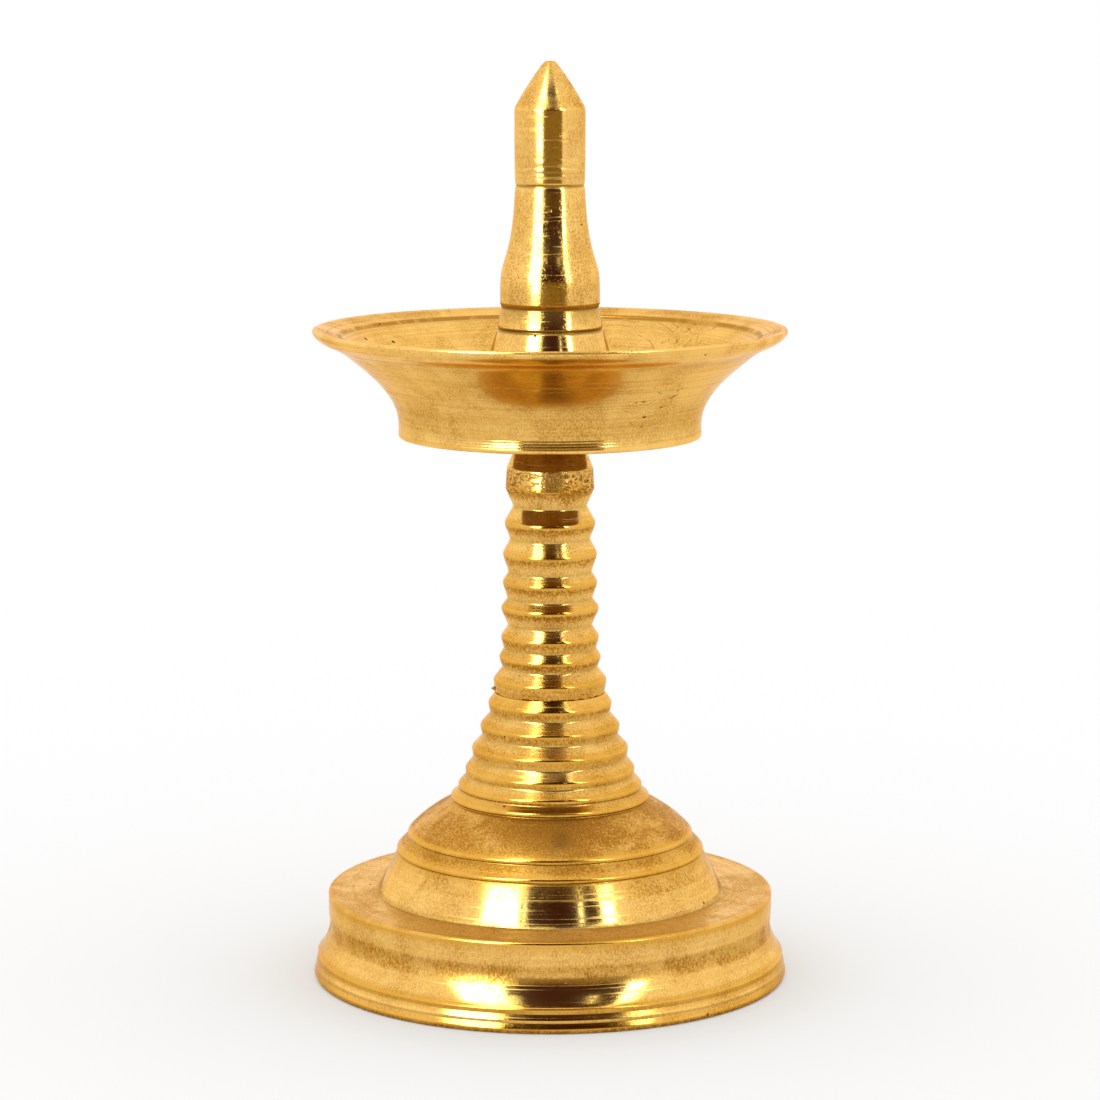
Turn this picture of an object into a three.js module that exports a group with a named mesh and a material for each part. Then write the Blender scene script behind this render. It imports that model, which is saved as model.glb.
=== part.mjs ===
// A small turned brass oil lamp: a hollow domed base, a ribbed stem, a shallow oil bowl and
// a pointed spire, screwed together by two hidden studs.
// Millimetres. +Z is up, the lamp's axis is Z and the base stands on z = 0.
import * as THREE from 'three';

// Foot of the base, from the table up
const FOOT_RADIUS = 39.3;
const FOOT_ROUND = 0.6;
const FOOT_EDGE = 0.3;
const LIP_HEIGHT = 4.2;
const LIP_LEAN = 0.6;
const LIP_GROOVE = 0.35;
const COVE_HEIGHT = 5.1;
const COVE_DEPTH = 1.75;
const COLLAR_HEIGHT = 4.9;
const COLLAR_STEP = 0.25;
const COLLAR_STEP_HEIGHT = 1.2;
const FOOT_HEIGHT = LIP_HEIGHT + COVE_HEIGHT + COLLAR_HEIGHT;

// Drum, its two beads and the dome above the foot
const LEDGE_WIDTH = 8.2;
const DRUM_HEIGHT = 6.4;
const DRUM_TAPER = 3.2;
const BEAD_CREASE = 0.15;
const BEAD_FACE = 0.5;
const LOWER_BEAD_WIDTH = 0.8;
const LOWER_BEAD_HEIGHT = 1.6;
const UPPER_BEAD_WIDTH = 0.5;
const UPPER_BEAD_HEIGHT = 1.35;
const BAND_HEIGHT = 1.05;
const BAND_TAPER = 1.05;
const DOME_SWELL = 0.55;
const DOME_HEIGHT = 4.85;

// Hollow cast underside of the base
const WALL = 3.0;
const CORE_RADIUS = 8.0;
const CORE_HEIGHT = 6.0;

// Turned rings from the bottom up: each ring's height, the groove under it, its crest,
// and how high the crest is above the groove
const BASE_RINGS = [
  { height: 1.75, groove: 16.2, crest: 16.4, peak: 0.5 },
  { height: 2.35, groove: 15.05, crest: 15.2, peak: 0.65 },
  { height: 2.85, groove: 13.88, crest: 14.02, peak: 0.95 },
  { height: 3.75, groove: 12.72, crest: 12.92, peak: 1.6 },
  { height: 3.8, groove: 11.2, crest: 11.52, peak: 1.6 },
  { height: 3.4, groove: 9.85, crest: 10.18, peak: 1.55 },
];
const STEM_RINGS = [
  { height: 4.2, groove: 9.0, crest: 9.32, peak: 2.05 },
  { height: 3.2, groove: 7.82, crest: 8.35, peak: 1.7 },
  { height: 3.85, groove: 7.6, crest: 8.06, peak: 1.85 },
  { height: 4.45, groove: 6.9, crest: 8.02, peak: 2.85 },
  { height: 4.4, groove: 6.97, crest: 7.75, peak: 2.7 },
  { height: 5.5, groove: 6.82, crest: 7.72, peak: 3.0 },
  { height: 5.45, groove: 6.55, crest: 7.45, peak: 2.65 },
];
const CREST_LAND = 0.5;
const SEAM_RADIUS = 9.1;

// Plain collar and neck at the top of the stem
const COLLAR_GROOVE = 6.0;
const COLLAR_RISE = 2.95;
const COLLAR_BAND = 3.4;
const COLLAR_LOWER = 7.29;
const COLLAR_UPPER = 7.06;
const NECK_CHAMFER = 3.6;
const NECK_RADIUS = 5.6;
const NECK_HEIGHT = 1.55;

// Oil bowl
const RIM_RADIUS = 38.85;
const RIM_ROUND = 0.7;
const RIM_THICKNESS = 2.2;
const RIM_UNDERCUT = 1.35;
const RIM_OVERHANG = 4.2;
const RIM_CHAMFER = 1.1;
const LIP_WIDTH = 4.4;
const LIP_FALL = 1.2;
const LIP_STEP = 0.35;
const BOWL_HEIGHT = 17.9;
const BOWL_FOOT_RADIUS = 24.7;
const BOWL_FOOT_HEIGHT = 2.4;
const BOWL_FOOT_EDGE = 0.15;
const BOWL_WALL = 2.3;
const FLARE_LEAN = 0.6;
const FLOOR_THICKNESS = 3.2;
const FLOOR_FILLET = 1.6;

// Spire, from the bowl's floor up
const SKIRT_RADIUS = 13.5;
const SKIRT_TOP_RADIUS = 8.65;
const SKIRT_HEIGHT = 14.1;
const CUT_WIDTH = 0.7;
const CUT_DEPTH = 0.3;
const FLARE_RING_HEIGHT = 3.15;
const FLARE_RING_LOWER = 8.58;
const FLARE_RING_UPPER = 7.9;
const SHOULDER_RADIUS = 8.14;
const SHOULDER_HEIGHT = 3.05;
const OGEE_HEIGHT = 15.65;
const SCORE_WIDTH = 0.8;
const SCORE_DEPTH = 0.18;
const SHANK_RADIUS = 5.77;
const SHANK_WAIST = 5.66;
const SHANK_HEIGHT = 12.2;
const POINT_HEIGHT = 7.35;
const POINT_ROUND = 0.5;
const TIP_RADIUS = 0.75;

// Screw studs and the sockets they turn in
const STUD_RADIUS = 3.0;
const STUD_CHAMFER = 0.6;
const STUD_CLEARANCE = 0.1;
const TIP_CLEARANCE = 1.0;
const THREAD_DEPTH = 9.0;
const HOLD_DEPTH = 11.0;

// Smoothness of the turned pieces
const BASE_SIDES = 48;
const STEM_SIDES = 36;
const BOWL_SIDES = 48;
const SPIRE_SIDES = 32;
const STUD_SIDES = 24;
const CURVE_STEPS = 6;
const BRASS = 0xc9953f;

// Heights at which the pieces meet
const ringsHeight = (rings) => rings.reduce((sum, ring) => sum + ring.height, 0);
const drumTop = FOOT_HEIGHT + DRUM_HEIGHT;
const domeFoot = drumTop + LOWER_BEAD_HEIGHT + BAND_HEIGHT + UPPER_BEAD_HEIGHT;
const domeTop = domeFoot + DOME_HEIGHT;
const seamZ = domeTop + ringsHeight(BASE_RINGS);
const collarZ = seamZ + ringsHeight(STEM_RINGS);
const bowlZ = collarZ + COLLAR_RISE + COLLAR_BAND + NECK_CHAMFER + NECK_HEIGHT;
const floorZ = bowlZ + FLOOR_THICKNESS;
const rimZ = bowlZ + BOWL_HEIGHT;

// A bore's corners lie outside its radius, so that its flats clear a round stud at any turn
const boreRadius = (sides) => (STUD_RADIUS + STUD_CLEARANCE) / Math.cos(Math.PI / sides);

function turned(name, outline, sides) {
  const geometry = new THREE.LatheGeometry(outline.getPoints(CURVE_STEPS), sides);
  geometry.rotateX(Math.PI / 2);
  const material = new THREE.MeshStandardMaterial({ color: BRASS, metalness: 1, roughness: 0.28 });
  const mesh = new THREE.Mesh(geometry, material);
  mesh.name = name;
  return mesh;
}

// Rings up the outside of a piece, each leaning in to the groove of the next
function addRings(outline, rings, bottomZ) {
  let z = bottomZ;
  for (const ring of rings) {
    outline.lineTo(ring.groove, z);
    outline.lineTo(ring.crest, z + ring.peak - CREST_LAND / 2);
    outline.lineTo(ring.crest, z + ring.peak + CREST_LAND / 2);
    z += ring.height;
  }
}

// A socket open at the top, down to its floor on the axis
function addSocketDown(outline, mouthZ, depth, sides) {
  const bore = boreRadius(sides);
  outline.lineTo(bore, mouthZ);
  outline.lineTo(bore, mouthZ - depth);
  outline.lineTo(0, mouthZ - depth);
}

// A socket open at the bottom, from its roof on the axis down to its mouth
function startAtSocketRoof(outline, mouthZ, depth, sides) {
  const bore = boreRadius(sides);
  outline.moveTo(0, mouthZ + depth);
  outline.lineTo(bore, mouthZ + depth);
  outline.lineTo(bore, mouthZ);
}

// Crease under a bead and the bead's upright face
function addBeadFace(outline, radius, z) {
  outline.lineTo(radius - BEAD_CREASE, z + BEAD_CREASE);
  outline.lineTo(radius, z + 2 * BEAD_CREASE);
  outline.lineTo(radius, z + 2 * BEAD_CREASE + BEAD_FACE);
}

function makeBase() {
  const lipTop = FOOT_RADIUS - LIP_LEAN;
  const waist = lipTop - LIP_GROOVE - COVE_DEPTH;
  const collar = waist + COLLAR_STEP;
  const drum = collar - LEDGE_WIDTH;
  const drumUpper = drum - DRUM_TAPER;
  const band = drumUpper - LOWER_BEAD_WIDTH;
  const bandUpper = band - BAND_TAPER;
  const dome = bandUpper - UPPER_BEAD_WIDTH;
  const waistZ = LIP_HEIGHT + COVE_HEIGHT;
  const bandZ = drumTop + LOWER_BEAD_HEIGHT;
  const bandTopZ = bandZ + BAND_HEIGHT;
  const domeUpper = BASE_RINGS[0].groove;
  const hollowDrumZ = FOOT_HEIGHT - WALL;
  const hollowDomeZ = drumTop - WALL / 2;
  const hollowTopZ = domeTop - WALL;

  const outline = new THREE.Path();
  // Hollow underside, from its top on the axis down to the table
  outline.moveTo(0, hollowTopZ + CORE_HEIGHT);
  outline.lineTo(CORE_RADIUS * 0.8, hollowTopZ + CORE_HEIGHT);
  outline.lineTo(CORE_RADIUS, hollowTopZ);
  outline.quadraticCurveTo(dome - WALL, hollowTopZ, drumUpper - WALL, hollowDomeZ);
  outline.lineTo(drum - WALL, hollowDrumZ);
  outline.lineTo(waist - WALL, hollowDrumZ);
  outline.lineTo(lipTop - WALL, 0);
  // Lip, cove and collar of the foot
  outline.lineTo(FOOT_RADIUS - FOOT_ROUND / 2, 0);
  outline.lineTo(FOOT_RADIUS, FOOT_ROUND);
  outline.lineTo(lipTop, LIP_HEIGHT - LIP_GROOVE);
  outline.lineTo(lipTop - LIP_GROOVE, LIP_HEIGHT);
  outline.quadraticCurveTo(waist, LIP_HEIGHT + COVE_HEIGHT / 2, waist, waistZ);
  outline.lineTo(collar, waistZ + COLLAR_STEP_HEIGHT);
  outline.lineTo(collar, FOOT_HEIGHT - FOOT_EDGE);
  outline.lineTo(collar - FOOT_EDGE, FOOT_HEIGHT);
  // Drum, bead, band, bead and dome
  outline.lineTo(drum, FOOT_HEIGHT);
  outline.lineTo(drumUpper, drumTop);
  addBeadFace(outline, drumUpper, drumTop);
  outline.lineTo(band, bandZ);
  outline.lineTo(bandUpper, bandTopZ);
  addBeadFace(outline, bandUpper, bandTopZ);
  outline.lineTo(dome, domeFoot);
  outline.quadraticCurveTo(
    (dome + domeUpper) / 2 + DOME_SWELL,
    domeFoot + DOME_HEIGHT * 0.6,
    domeUpper,
    domeTop,
  );
  addRings(outline, BASE_RINGS, domeTop);
  outline.lineTo(SEAM_RADIUS, seamZ);
  addSocketDown(outline, seamZ, THREAD_DEPTH + TIP_CLEARANCE, BASE_SIDES);
  return turned('base', outline, BASE_SIDES);
}

function makeStem() {
  const bandZ = collarZ + COLLAR_RISE;
  const chamferZ = bandZ + COLLAR_BAND;
  const outline = new THREE.Path();
  startAtSocketRoof(outline, seamZ, HOLD_DEPTH, STEM_SIDES);
  addRings(outline, STEM_RINGS, seamZ);
  outline.lineTo(COLLAR_GROOVE, collarZ);
  outline.lineTo(COLLAR_LOWER, bandZ);
  outline.lineTo(COLLAR_UPPER, chamferZ);
  outline.lineTo(NECK_RADIUS, chamferZ + NECK_CHAMFER);
  outline.lineTo(NECK_RADIUS, bowlZ);
  addSocketDown(outline, bowlZ, THREAD_DEPTH + TIP_CLEARANCE, STEM_SIDES);
  return turned('stem', outline, STEM_SIDES);
}

// The bowl's side swings from upright at its foot to nearly level under the rim
function flareUp(outline, r0, z0, r1, z1) {
  outline.lineTo(r0, z0);
  const lean = r0 + (r1 - r0) * FLARE_LEAN;
  outline.bezierCurveTo(r0, z0 + (z1 - z0) * 0.4, lean, z0 + (z1 - z0) * 0.75, r1, z1);
}

function flareDown(outline, r1, z1, r0, z0) {
  outline.lineTo(r1, z1);
  const lean = r0 + (r1 - r0) * FLARE_LEAN;
  outline.bezierCurveTo(lean, z0 + (z1 - z0) * 0.75, r0, z0 + (z1 - z0) * 0.4, r0, z0);
}

function makeBowl() {
  const hole = boreRadius(BOWL_SIDES);
  const rimUnderZ = rimZ - RIM_THICKNESS;
  const innerRim = RIM_RADIUS - LIP_WIDTH;
  const stepZ = rimZ - LIP_FALL - LIP_STEP;
  const innerFoot = BOWL_FOOT_RADIUS - BOWL_WALL;
  const outline = new THREE.Path();
  outline.moveTo(hole, floorZ);
  outline.lineTo(hole, bowlZ);
  outline.lineTo(BOWL_FOOT_RADIUS - BOWL_FOOT_EDGE, bowlZ);
  outline.lineTo(BOWL_FOOT_RADIUS + BOWL_FOOT_EDGE, bowlZ + BOWL_FOOT_EDGE * 2);
  flareUp(
    outline,
    BOWL_FOOT_RADIUS,
    bowlZ + BOWL_FOOT_HEIGHT,
    RIM_RADIUS - RIM_OVERHANG,
    rimUnderZ - RIM_CHAMFER,
  );
  outline.lineTo(RIM_RADIUS - RIM_UNDERCUT, rimUnderZ);
  outline.lineTo(RIM_RADIUS, rimZ - RIM_ROUND);
  outline.lineTo(RIM_RADIUS - RIM_ROUND / 2, rimZ);
  outline.lineTo(innerRim, rimZ - LIP_FALL);
  flareDown(outline, innerRim - LIP_STEP / 2, stepZ, innerFoot, floorZ + FLOOR_FILLET);
  outline.quadraticCurveTo(innerFoot, floorZ, innerFoot - FLOOR_FILLET, floorZ);
  outline.lineTo(hole, floorZ);
  return turned('oil_bowl', outline, BOWL_SIDES);
}

function makeSpire() {
  const skirtZ = floorZ + SKIRT_HEIGHT;
  const ringZ = skirtZ + CUT_WIDTH;
  const shoulderZ = ringZ + FLARE_RING_HEIGHT + CUT_WIDTH;
  const ogeeZ = shoulderZ + SHOULDER_HEIGHT;
  const scoreZ = ogeeZ + OGEE_HEIGHT;
  const shankZ = scoreZ + SCORE_WIDTH;
  const pointZ = shankZ + SHANK_HEIGHT;
  const tipZ = pointZ + POINT_HEIGHT;
  const skirtMid = SKIRT_TOP_RADIUS + (SKIRT_RADIUS - SKIRT_TOP_RADIUS) * 0.35;
  const outline = new THREE.Path();
  startAtSocketRoof(outline, floorZ, HOLD_DEPTH, SPIRE_SIDES);
  outline.lineTo(SKIRT_RADIUS, floorZ);
  outline.quadraticCurveTo(skirtMid, floorZ + SKIRT_HEIGHT * 0.63, SKIRT_TOP_RADIUS, skirtZ);
  // Cut, flared ring, cut and rounded shoulder
  outline.lineTo(SKIRT_TOP_RADIUS - CUT_DEPTH, skirtZ + CUT_WIDTH / 2);
  outline.lineTo(FLARE_RING_LOWER, ringZ);
  outline.lineTo(FLARE_RING_UPPER, ringZ + FLARE_RING_HEIGHT);
  outline.lineTo(SHOULDER_RADIUS, shoulderZ);
  outline.lineTo(SHOULDER_RADIUS, ogeeZ);
  // The shoulder draws in to the shank, which a scored line crosses
  outline.bezierCurveTo(
    SHOULDER_RADIUS,
    ogeeZ + OGEE_HEIGHT * 0.29,
    SHANK_WAIST + (SHOULDER_RADIUS - SHANK_WAIST) * 0.16,
    ogeeZ + OGEE_HEIGHT * 0.25,
    SHANK_WAIST,
    scoreZ,
  );
  outline.lineTo(SHANK_WAIST - SCORE_DEPTH, scoreZ + SCORE_WIDTH / 2);
  outline.lineTo(SHANK_WAIST, shankZ);
  outline.lineTo(SHANK_RADIUS, shankZ + SHANK_HEIGHT / 3);
  outline.lineTo(SHANK_RADIUS, pointZ - POINT_ROUND / 2);
  outline.lineTo(SHANK_RADIUS - POINT_ROUND / 2, pointZ + POINT_ROUND / 2);
  outline.quadraticCurveTo(
    (SHANK_RADIUS + TIP_RADIUS) / 2 + POINT_ROUND / 2,
    (pointZ + tipZ) / 2 + POINT_ROUND / 2,
    TIP_RADIUS + POINT_ROUND,
    tipZ - POINT_ROUND,
  );
  outline.lineTo(TIP_RADIUS, tipZ);
  outline.lineTo(0, tipZ);
  return turned('spire', outline, SPIRE_SIDES);
}

// A stud stands hard against the roof of the socket that holds it, its lower end in the thread
function makeStud(name, bottomZ, topZ) {
  const outline = new THREE.Path();
  outline.moveTo(0, bottomZ);
  outline.lineTo(STUD_RADIUS - STUD_CHAMFER, bottomZ);
  outline.lineTo(STUD_RADIUS, bottomZ + STUD_CHAMFER);
  outline.lineTo(STUD_RADIUS, topZ - STUD_CHAMFER);
  outline.lineTo(STUD_RADIUS - STUD_CHAMFER, topZ);
  outline.lineTo(0, topZ);
  return turned(name, outline, STUD_SIDES);
}

const lamp = new THREE.Group();
lamp.name = 'oil_lamp';
lamp.add(makeBase());
lamp.add(makeStud('lower_stud', seamZ - THREAD_DEPTH, seamZ + HOLD_DEPTH));
lamp.add(makeStem());
lamp.add(makeBowl());
lamp.add(makeStud('upper_stud', bowlZ - THREAD_DEPTH, floorZ + HOLD_DEPTH));
lamp.add(makeSpire());

export default lamp;
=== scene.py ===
# %% [markdown]
# # A turned brass oil lamp
# The lamp is a stack of brass castings, each trued on a lathe and buffed: a domed base, a
# ribbed stem, a shallow oil bowl and a pointed spire, held together by two hidden screw studs.
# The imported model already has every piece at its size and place, so this lesson only gives the
# pieces smooth turned surfaces, cut threads and a worn brass finish.

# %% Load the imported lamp
import math

import bpy
import numpy as np
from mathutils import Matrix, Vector
from mathutils.kdtree import KDTree


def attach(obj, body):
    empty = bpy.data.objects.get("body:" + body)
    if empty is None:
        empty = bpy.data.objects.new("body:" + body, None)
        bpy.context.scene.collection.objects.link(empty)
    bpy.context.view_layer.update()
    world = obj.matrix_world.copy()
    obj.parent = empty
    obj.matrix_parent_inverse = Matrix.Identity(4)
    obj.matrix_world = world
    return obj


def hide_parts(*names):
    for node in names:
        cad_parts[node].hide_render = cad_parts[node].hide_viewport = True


MM = 0.001
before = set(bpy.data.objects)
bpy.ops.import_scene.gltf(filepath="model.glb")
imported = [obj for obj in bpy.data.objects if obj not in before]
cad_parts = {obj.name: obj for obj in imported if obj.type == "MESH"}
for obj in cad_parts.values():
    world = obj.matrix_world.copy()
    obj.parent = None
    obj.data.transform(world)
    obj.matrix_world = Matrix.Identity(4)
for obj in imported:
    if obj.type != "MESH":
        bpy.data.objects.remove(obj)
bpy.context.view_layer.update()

# %% [markdown]
# ## Camera
# The lamp was photographed from a little above its rim, so the foot shows a wide ellipse and
# the rim a narrow one. The tilt and distance below make both ellipses come out right, which a
# guess by eye would not.

# %% Camera
PHOTO_SIDE = 1100
FOCAL_PIXELS = 3800
SENSOR_WIDTH = 36.0
CAMERA_AWAY = 617.6 * MM
CAMERA_HEIGHT = 166.6 * MM
CAMERA_TILT = math.radians(8.8)

bpy.ops.object.camera_add(
    location=(0, -CAMERA_AWAY, CAMERA_HEIGHT),
    rotation=(math.pi / 2 - CAMERA_TILT, 0, 0),
)
camera = bpy.context.object
camera.data.sensor_width = SENSOR_WIDTH
camera.data.lens = SENSOR_WIDTH * FOCAL_PIXELS / PHOTO_SIDE
bpy.context.scene.camera = camera
print("lens, mm:", round(camera.data.lens, 1))

# %% [markdown]
# ## Nodes, put together by hand
# Shader trees are easier to read when a node is made, set and wired in one line. These small
# helpers do only that: an input given as a socket is linked, anything else is set as a value.

# %% Nodes, put together by hand
def feed(tree, made, inputs):
    """Link each input that is given as a socket, and set each that is given as a value."""
    for key, value in inputs.items():
        if isinstance(value, bpy.types.NodeSocket):
            tree.links.new(value, made.inputs[key])
        else:
            made.inputs[key].default_value = value


def wire(tree, kind, inputs, **settings):
    """A new node with its settings made and its inputs fed."""
    made = tree.nodes.new(kind)
    for setting, value in settings.items():
        setattr(made, setting, value)
    feed(tree, made, inputs)
    return made


def maths(tree, operation, a, b=0.0, c=0.0, clamp=False):
    """The result of one Math node."""
    inputs = {0: a, 1: b, 2: c}
    return wire(tree, "ShaderNodeMath", inputs, operation=operation, use_clamp=clamp).outputs[0]


def times(tree, first, *others):
    """The product of some sockets and numbers."""
    for other in others:
        first = maths(tree, "MULTIPLY", first, other)
    return first


def plus(tree, first, *others):
    """The sum of some sockets and numbers."""
    for other in others:
        first = maths(tree, "ADD", first, other)
    return first


def ramp(tree, value, low, high, bottom=0.0, top=1.0):
    """A smooth rise from bottom at low to top at high."""
    inputs = {"Value": value, "From Min": low, "From Max": high, "To Min": bottom, "To Max": top}
    return wire(tree, "ShaderNodeMapRange", inputs, interpolation_type="SMOOTHSTEP").outputs[0]


def blend(tree, amount, a, b):
    """Colour a where amount is 0, colour b where it is 1."""
    return wire(tree, "ShaderNodeMix", {0: amount, 6: a, 7: b}, data_type="RGBA").outputs[2]


def plain_material(name, colour, roughness):
    """A material with one colour, to be built on."""
    material = bpy.data.materials.new(name)
    material.use_nodes = True
    shader = material.node_tree.nodes["Principled BSDF"]
    shader.inputs["Base Color"].default_value = (*colour, 1)
    shader.inputs["Roughness"].default_value = roughness
    return material


print("node helpers:", [helper.__name__ for helper in (wire, maths, times, plus, ramp, blend)])

# %% [markdown]
# ## A curved card
# Polished brass has hardly a colour of its own: it shows what stands round it. So the light here
# is a ring of glowing and dark cards, as in a product studio. Area lights could give the glow, but
# not the dark stripes. Each card is a line spun part of the way round the lamp, so that it covers
# the same angle at every height, and it is kept from the camera. In a reflection of a reflection
# a bright card is dimmer, where a real lamp only shows as a small spark.

# %% A curved card
CARD_AWAY = 0.9
CARD_STEPS = 12
LAMP_AGAIN = 1.2


def card(name, azimuths, heights, away, colour, strength, foot_away=None):
    """A curved card between two azimuths in degrees, upright unless its foot stands nearer."""
    left, right = (math.radians(a) for a in azimuths)
    foot_away = foot_away or away
    bpy.ops.object.select_all(action="DESELECT")
    bpy.ops.mesh.primitive_plane_add(size=1)
    made = bpy.context.object
    made.name = name
    bpy.ops.object.mode_set(mode="EDIT")
    bpy.ops.mesh.select_all(action="SELECT")
    bpy.ops.mesh.merge(type="CENTER")
    outwards = Vector((math.sin(right), -math.cos(right), 0))
    foot = outwards * foot_away + Vector((0, 0, heights[0]))
    head = outwards * away + Vector((0, 0, heights[1]))
    bpy.ops.transform.translate(value=foot)
    bpy.ops.mesh.extrude_region_move(TRANSFORM_OT_translate={"value": head - foot})
    bpy.ops.mesh.select_all(action="SELECT")
    bpy.ops.mesh.spin(steps=CARD_STEPS, angle=right - left, center=(0, 0, 0), axis=(0, 0, 1))
    bpy.ops.object.mode_set(mode="OBJECT")
    material = plain_material(name, (0, 0, 0), 1.0)
    shader = material.node_tree.nodes["Principled BSDF"]
    shader.inputs["Specular IOR Level"].default_value = 0
    shader.inputs["Emission Color"].default_value = (*colour, 1)
    bounces = wire(material.node_tree, "ShaderNodeLightPath", {}).outputs["Ray Depth"]
    again = min(strength, LAMP_AGAIN)
    fading = ramp(material.node_tree, bounces, 1.0, 2.0, strength, again)
    material.node_tree.links.new(fading, shader.inputs["Emission Strength"])
    made.data.materials.append(material)
    made.visible_camera = False
    made.visible_diffuse = False
    made.visible_shadow = False


print("cards stand", CARD_AWAY, "m from the lamp")

# %% [markdown]
# ## Tent
# The lamp stood in a tent of white cloth, which gives every face its even gold. The tent is the
# world: plain white to the camera, so that the backdrop stays clean, and a little warm to the
# brass. Light that has met two faces of the lamp comes back weaker, which keeps the hollows brown
# where they would turn orange.

# %% Tent
TENT_LIGHT = (1.12, 0.96, 0.90)
TENT_AGAIN = 0.7

bpy.context.scene.view_settings.view_transform = "Standard"
world = bpy.data.worlds.new("white_tent")
bpy.context.scene.world = world
world.use_nodes = True
world_tree = world.node_tree
background = world_tree.nodes["Background"]
path = wire(world_tree, "ShaderNodeLightPath", {}).outputs
tent = blend(world_tree, path["Is Camera Ray"], (*TENT_LIGHT, 1), (1, 1, 1, 1))
again = times(world_tree, path["Is Glossy Ray"], ramp(world_tree, path["Ray Depth"], 2.0, 3.0))
tent_strength = ramp(world_tree, again, 0.0, 1.0, 1.0, TENT_AGAIN)
world_tree.links.new(tent, background.inputs["Color"])
world_tree.links.new(tent_strength, background.inputs["Strength"])
print("tent light:", TENT_LIGHT)

# %% [markdown]
# ## Floor
# The lamp stands on a pale matt floor. A white floor in a white tent still comes out a little
# grey, so the camera sees it lifted by a faint glow and without the tent's warmth, while the brass
# sees the floor as it is.

# %% Floor
FLOOR_SIDE = 12.0
FLOOR_DROP = 0.05 * MM
FLOOR_WHITE = 0.88

bpy.ops.object.select_all(action="DESELECT")
bpy.ops.mesh.primitive_plane_add(size=FLOOR_SIDE, location=(0, 0, -FLOOR_DROP))
floor = bpy.context.object
floor.name = "floor"
floor_white = plain_material("floor_white", (FLOOR_WHITE,) * 3, 1.0)
floor.data.materials.append(floor_white)
floor_tree = floor_white.node_tree
floor_shader = floor_tree.nodes["Principled BSDF"]
floor_shader.inputs["Specular IOR Level"].default_value = 0
floor_shader.inputs["Emission Color"].default_value = (1, 1, 1, 1)
to_camera = floor_tree.nodes.new("ShaderNodeLightPath").outputs["Is Camera Ray"]
floor_lift = times(floor_tree, to_camera, 1 - FLOOR_WHITE)
floor_grey = (FLOOR_WHITE, FLOOR_WHITE, FLOOR_WHITE, 1)
floor_balanced = (*(FLOOR_WHITE / light for light in TENT_LIGHT), 1)
floor_colour = blend(floor_tree, to_camera, floor_grey, floor_balanced)
floor_tree.links.new(floor_colour, floor_shader.inputs["Base Color"])
floor_tree.links.new(floor_lift, floor_shader.inputs["Emission Strength"])
print("floor side, m:", FLOOR_SIDE)

# %% [markdown]
# ## Opening and lamps
# The tent is open in front, for the camera, with a lamp at each side of the opening. The opening
# makes the dark stripe down every upright face, red-brown from the room above and olive from the
# table below. The lamps make the white stripes beside it, and two slivers of light in the opening
# make the fine lines inside it. Each pair of angles is measured from the camera, to the right.

# %% Opening and lamps
CARD_TOP = 2.0
CARD_MIDDLE = 1.0
CARD_SPLIT = 0.17
LAMP_FOOT = 0.05
SLIVER_FOOT = 0.6
FLAT_LIFT = 0.5 * MM
FLAT_AWAY = 0.5
LAMP_STRENGTH = 8.0
SLIVER_STRENGTH = 2.5
DARK_COLOUR = (0.048, 0.011, 0.010)
OLIVE_COLOUR = (0.28, 0.18, 0.05)
WHITE = (1, 1, 1)
NEARER = CARD_AWAY * 0.98
OPENING = (-24, 40)
FLAT = (FLAT_LIFT, FLAT_LIFT)
LOW = (0, CARD_SPLIT)
LAMP_LOW = (LAMP_FOOT, CARD_SPLIT)
MIDDLE = (CARD_SPLIT, CARD_MIDDLE)
HIGH = (CARD_SPLIT, CARD_TOP)
TOP = (CARD_MIDDLE, CARD_TOP)
SLIVERS = (SLIVER_FOOT, CARD_MIDDLE)

card("dark_opening", OPENING, HIGH, CARD_AWAY, DARK_COLOUR, 1.0)
card("dim_opening", OPENING, LOW, CARD_AWAY, OLIVE_COLOUR, 1.0)
card("dim_floor", OPENING, FLAT, CARD_AWAY, OLIVE_COLOUR, 1.0, FLAT_AWAY)
card("left_lamp", (-50, -24), HIGH, NEARER, WHITE, LAMP_STRENGTH)
card("left_lamp_foot", (-42, -24), LAMP_LOW, NEARER, WHITE, LAMP_STRENGTH)
card("right_lamp", (40, 48), MIDDLE, NEARER, WHITE, LAMP_STRENGTH)
card("right_lamp_top", (40, 46), TOP, NEARER, WHITE, SLIVER_STRENGTH)
card("left_sliver", (-20.5, -18), SLIVERS, NEARER, WHITE, SLIVER_STRENGTH)
card("right_sliver", (22, 25), SLIVERS, NEARER, WHITE, SLIVER_STRENGTH)
print("opening is", OPENING[1] - OPENING[0], "degrees wide")

# %% [markdown]
# ## Reading the turned outline
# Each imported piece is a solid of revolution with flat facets. Its section is the row of corners
# that faces the camera, so the outline can be read back from the model instead of being typed
# again: the corners with no sideways offset are taken, and their edges are followed from end to
# end. Nothing can then drift from the real sizes.

# %% Reading the turned outline
ON_SECTION = 1e-6


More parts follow.
